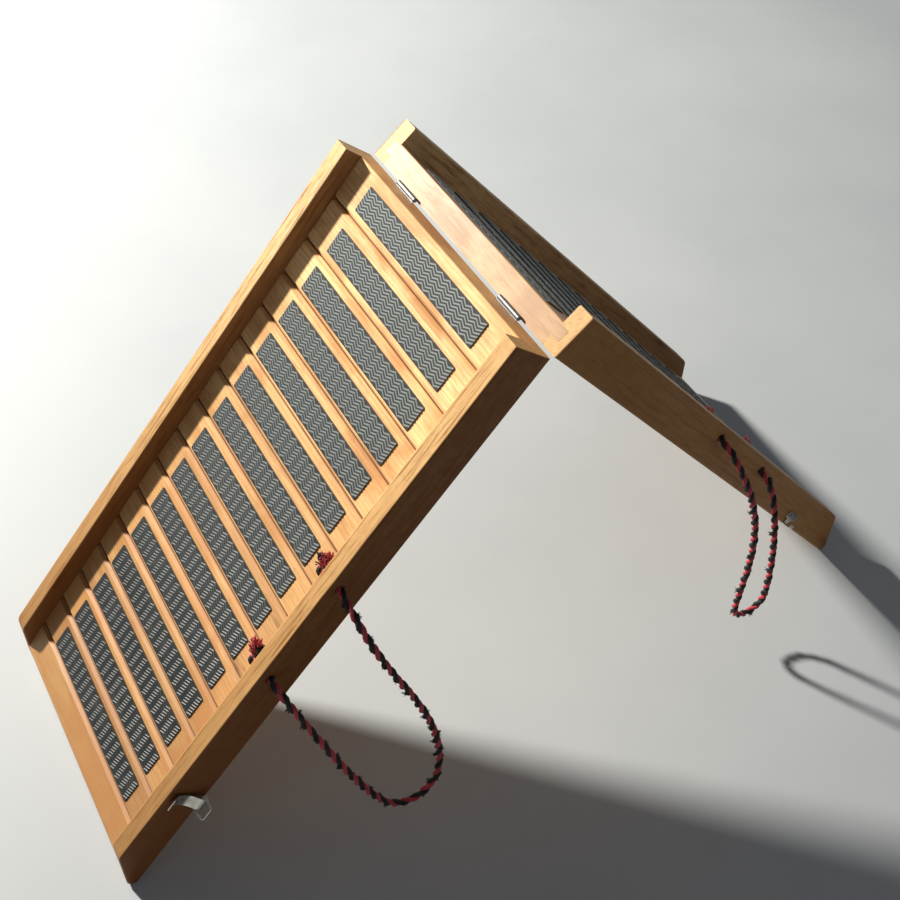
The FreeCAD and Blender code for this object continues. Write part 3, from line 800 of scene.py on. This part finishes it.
def skin(line, radius, sides, marks):
    """A closed tube: its points, its faces, and the UV of each face corner from the marks."""
    ahead, side, over = carried_frame(line)
    angle = np.linspace(0, 2 * math.pi, sides, endpoint=False)[None, :, None]
    points = line[:, None, :] + radius[..., None] * (np.cos(angle) * side[:, None, :]
                                                     + np.sin(angle) * over[:, None, :])
    faces, uvs = [], []
    for a in range(len(line) - 1):
        near, far = a * sides, (a + 1) * sides
        for b in range(sides):
            c = (b + 1) % sides
            faces.append((near + b, near + c, far + c, far + b))
            v0, v1 = b / sides, (b + 1) / sides
            uvs += [(marks[a], v0), (marks[a], v1), (marks[a + 1], v1), (marks[a + 1], v0)]
    last = (len(line) - 1) * sides
    for ring in (range(sides - 1, -1, -1), range(last, last + sides)):
        faces.append(tuple(ring))
        uvs += [(0.0, b / sides) for b in range(sides)]
    return points.reshape(-1, 3), faces, uvs


def tube(line, radii, twist, swell):
    """A strand: a tube with five soft lobes that wind along it."""
    gone = length_so_far(line)
    angle = np.linspace(0, 2 * math.pi, STRAND_SIDES, endpoint=False)[None, :]
    wave = 1.0 + swell * np.cos(LOBES * angle - twist * gone[:, None])
    return skin(line, np.asarray(radii)[:, None] * wave, STRAND_SIDES, gone / YARN_REPEAT)


def strand_line(line, start, lay, offset=STRAND_OFFSET):
    """The middle of a strand that circles the line, as a right-hand lay."""
    ahead, side, over = carried_frame(line)
    turn = start + 2 * math.pi * length_so_far(line) / lay
    return line + offset * (np.cos(turn)[:, None] * side + np.sin(turn)[:, None] * over)


print("strand sides:", STRAND_SIDES)

# %% [markdown]
# Several tubes become one object, whose faces each know which yarn they are made of.  The slow
# wander that makes a strand uneven comes from a seeded generator, so it is the same every time.


# %% Tubes into one mesh
def strand_mesh(name, tubes, finishes):
    """One mesh from several tubes, each with the number of its finish."""
    points, faces, uvs, numbers = [], [], [], []
    for (tube_points, tube_faces, tube_uvs), number in tubes:
        shift = sum(len(p) for p in points)
        points.append(tube_points)
        faces += [tuple(v + shift for v in face) for face in tube_faces]
        uvs += tube_uvs
        numbers += [number] * len(tube_faces)
    mesh = bpy.data.meshes.new(name)
    mesh.from_pydata(np.concatenate(points).tolist(), [], faces)
    layer = mesh.uv_layers.new(name="yarns")
    layer.data.foreach_set("uv", np.array(uvs).ravel())
    for finish in finishes:
        mesh.materials.append(finish)
    mesh.polygons.foreach_set("material_index", numbers)
    mesh.polygons.foreach_set("use_smooth", [True] * len(faces))
    mesh.update()
    obj = bpy.data.objects.new(name, mesh)
    bpy.context.scene.collection.objects.link(obj)
    return obj


def uneven(count, seed, amount):
    """A slow, repeatable wander round 1."""
    chance = np.random.RandomState(seed)
    knots = chance.uniform(1 - amount, 1 + amount, max(count // 9, 4))
    return np.interp(np.linspace(0, len(knots) - 1, count), np.arange(len(knots)), knots)


print("strand builder ready")

# %% [markdown]
# Each rope is its two strands, half a turn apart.  The black strand is a little thicker than the
# red one, as its shed fibres fill it out.


# %% The two ropes
STRAND_SHARE = (0.92, 1.05)


def lay_rope(side, seed):
    line = rope_lines[side]
    tubes = []
    for number, start in ((0, 0.0), (1, math.pi)):
        middle = strand_line(line, start, LAYS[side])
        radii = STRAND_RADIUS * uneven(len(line), seed + number, 0.16) * STRAND_SHARE[number]
        tubes.append((tube(middle, radii, LOBE_TWIST, LOBE_SWELL), number))
    return strand_mesh(side + "_twisted_rope", tubes, [red_yarn, black_yarn])


ropes = {"left": lay_rope("left", 11), "right": lay_rope("right", 23)}
print("rope faces:", {side: len(r.data.polygons) for side, r in ropes.items()})

# %% [markdown]
# ## Knots and frayed ends
# Behind the rail each end of the rope is tied in an overhand knot, and its two strands are cut
# and combed out: one red brush and one black brush.  The knot is the same twisted pair of
# strands, the red one faded, laid round a three-lobed line that crosses itself as a knot does.  A
# brush is a few dozen thin fibres that spread and curl.

# %% Knot and brush shapes
KNOT_SIZE = 0.0033
KNOT_STRAND = 0.0027
KNOT_LAY = 0.016
KNOT_OFFSET = 0.0013
KNOT_TWIST = 900.0
FIBRE_SIDES = 5
FIBRE_STEPS = 6


def knot_line():
    """A trefoil, the simplest knotted loop, lying round the origin."""
    t = np.linspace(0, 2 * math.pi, 61)
    return KNOT_SIZE * np.stack([np.sin(t) + 1.55 * np.sin(2 * t),
                                 np.cos(t) - 1.55 * np.cos(2 * t),
                                 -1.15 * np.sin(3 * t)], axis=1)


def fibre(start, direction, curl, length, radius, chance):
    """One thin fibre, as a five-sided tube that bends as it goes."""
    place, heading = np.array(start, float), np.array(direction, float)
    line = [place.copy()]
    bend = chance.normal(0, curl, 3)
    for _ in range(FIBRE_STEPS):
        heading = heading + bend + chance.normal(0, curl * 0.5, 3)
        heading /= np.linalg.norm(heading)
        place = place + heading * length / FIBRE_STEPS
        line.append(place.copy())
    return np.array(line), np.linspace(radius, radius * 0.55, FIBRE_STEPS + 1)


def thin_tube(line, radii):
    return skin(line, np.asarray(radii)[:, None], FIBRE_SIDES, np.arange(len(line)) * 0.1)


print("knot points:", len(knot_line()))

# %% [markdown]
# The brushes point up and towards the hinge.  At the upper knot the red brush lies beside the rail
# and the black one beside the tread, and at the lower knot they have changed places.  Each brush
# has a direction (away from the hinge, off the boards, away from the rail) and a share of the
# full length.

# %% Tie the four knots
BRUSH_FIBRES = 84
BRUSH_LENGTH = 0.0195
RED, BLACK, FADED = range(3)
BRUSHES = {"upper": {RED: ((-0.95, 0.66, -0.12), 1.0), BLACK: ((-0.50, 0.50, 0.75), 0.62)},
           "lower": {RED: ((-0.85, 0.66, 0.42), 1.0), BLACK: ((-0.85, 0.45, -0.35), 0.80)}}
LEVELS = ("upper", "lower")


def tie_knot(side, level, name, seed):
    chance = np.random.RandomState(seed)
    centre = hole(side, LEVELS.index(level))
    centre.y = KNOT_Y + MIDDLE_Y
    outward = on_section(side, 1, 0, 0) - on_section(side, 0, 0, 0)
    up = on_section(side, 0, 0, 1) - on_section(side, 0, 0, 0)
    inward = Vector((0, 1, 0))
    axes = np.array([outward, up, inward])
    line = knot_line() @ axes + np.array(centre)
    tubes = []
    for finish, start in ((FADED, 0.3), (BLACK, 0.3 + math.pi)):
        middle = strand_line(line, start, KNOT_LAY, KNOT_OFFSET)
        middle[-1] = middle[0]
        tubes.append((tube(middle, [KNOT_STRAND] * len(middle), KNOT_TWIST, 0.09), finish))
    for finish, (way, reach) in BRUSHES[level].items():
        lean = way @ axes
        lean /= np.linalg.norm(lean)
        for _ in range(BRUSH_FIBRES):
            root = np.array(centre) + lean * 0.004 + chance.normal(0, 0.0021, 3)
            aim = lean + chance.normal(0, 0.15, 3)
            aim /= np.linalg.norm(aim)
            length = BRUSH_LENGTH * reach * chance.uniform(0.72, 1.0)
            path, radii = fibre(root, aim, 0.035, length, 0.00135, chance)
            tubes.append((thin_tube(path, radii), finish))
    knot = strand_mesh(name, tubes, [red_yarn, black_yarn, faded_yarn])
    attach(knot, side + "_section")
    return knot


knots = {}
for side, seed in (("left", 301), ("right", 401)):
    for number, level in enumerate(LEVELS):
        node = "%s_rope_%s_knot" % (side, level)
        knots[node] = tie_knot(side, level, "%s_%s_frayed_knot" % (side, level), seed + number)
        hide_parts(node)
print("knots:", {k: len(v.data.polygons) for k, v in knots.items()})

# %% [markdown]
# ## Fix the ropes to the sections
# Each rope belongs to its own section, so it moves with it when the ramp folds.

for side, rope in ropes.items():
    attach(rope, side + "_section")
    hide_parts(side + "_rope")
    ends = [knots["%s_rope_%s_knot" % (side, level)] for level in ("upper", "lower")]

# %% [markdown]
# ## Loose fibres
# The black strand of a well used handle sheds: short tufts of fibre stick out along it.  They are
# a separate piece, so that the rope keeps its true thickness when it is measured.


# %% Shed fibres along each rope
def shed_fibres(side, count, seed):
    chance = np.random.RandomState(seed)
    line = rope_lines[side]
    middle = strand_line(line, math.pi, LAYS[side])
    tubes = []
    for mark in np.linspace(40, len(line) - 40, count):
        at = int(mark + chance.uniform(-8, 8))
        away = middle[at] - line[at]
        away /= np.linalg.norm(away)
        along = line[at + 1] - line[at - 1]
        along /= np.linalg.norm(along)
        for _ in range(11):
            aim = away + along * chance.normal(0.3, 0.5) + chance.normal(0, 0.25, 3)
            aim /= np.linalg.norm(aim)
            root = middle[at] + away * 0.0013 + along * chance.normal(0, 0.0016)
            path, radii = fibre(root, aim, 0.12, chance.uniform(0.0024, 0.0056), 0.00055, chance)
            tubes.append((thin_tube(path, radii), 0))
    fibres = strand_mesh(side + "_rope_loose_fibres", tubes, [black_yarn])
    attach(fibres, side + "_section")
    return fibres


loose = [shed_fibres("left", 52, 77), shed_fibres("right", 16, 78)]
print("loose fibres:", [len(o.data.polygons) for o in loose])

# %% [markdown]
# ## Finish the CAD parts
# A CAD part keeps its mesh; only its material changes.  The name of a node says what it is made
# of and which section it belongs to.

# %% Give each CAD part its finish
METALS = {"latch_base_plate": nickel, "latch_lever": nickel, "keeper_plate": nickel,
          "latch_bail": wire}


def finish_of(name):
    side = "right" if name.startswith("right") else "left"
    if name.endswith("rail"):
        return rail_finish[side]
    if "slat" in name or name.endswith("board"):
        return board_finish[side]
    return METALS.get(name, zinc)


for name, obj in nodes.items():
    if any(word in name for word in ("rubber", "rope")):
        continue
    obj.data.materials.clear()
    obj.data.materials.append(finish_of(name))
print("finished CAD parts:", len(nodes))

# %% [markdown]
# ## Floor and light
# The ramp stands on a pale, slightly mottled floor.  It is 40 m wide, so it fills the camera's
# view, and in lower views its edge is far away.

# %% Floor
fresh()
bpy.ops.mesh.primitive_plane_add(size=40.0, location=(0, 0, 0))
floor = bpy.context.object
floor.name = "studio_floor"
floor_finish, floor_shader = new_material("pale_floor")
mottle = noise(object_place(), 1.6, 4.0, 0.6)
feed(floor_shader, Base_Color=mottle.between(0.3, 0.7).mixed((0.49, 0.53, 0.57),
                                                              (0.55, 0.59, 0.62)),
     Roughness=(0.55 + mottle * 0.2))
floor.data.materials.append(floor_finish)
print("floor laid")

# %% [markdown]
# The main light is high and behind the ramp on its far side, so the walking faces are bright while
# the near rails' outer faces are in shade.  Two large weak panels keep that shade open.


# %% Lights
def panel(name, place, target, size, power, colour):
    data = bpy.data.lights.new(name, "AREA")
    data.shape = "DISK"
    data.size = size
    data.energy = power
    data.color = colour
    light = bpy.data.objects.new(name, data)
    bpy.context.scene.collection.objects.link(light)
    aim = (Vector(target) - Vector(place)).to_track_quat("-Z", "Y")
    light.matrix_world = Matrix.Translation(place) @ aim.to_matrix().to_4x4()
    return light


key = panel("key_light", (-1.5, 3.1, 2.5), (0, 0, 0.35), 0.34, 310.0, (1.0, 0.94, 0.84))
fill = panel("fill_light", (-1.4, -3.0, 2.2), (0, 0, 0.3), 2.6, 4.0, (0.93, 0.96, 1.0))
side_light = panel("side_light", (3.4, -0.6, 1.8), (0, 0, 0.3), 1.8, 5.0, (1.0, 0.97, 0.93))
world = bpy.data.worlds.new("studio")
bpy.context.scene.world = world
world.use_nodes = True
sky = world.node_tree.nodes["Background"]
sky.inputs["Color"].default_value = (0.88, 0.93, 1.0, 1.0)
sky.inputs["Strength"].default_value = 0.105
bpy.context.scene.view_settings.view_transform = "Standard"
print("lights:", key.name, fill.name, side_light.name)

# %% [markdown]
# ## Finish

# %% Finish
bpy.context.view_layer.update()
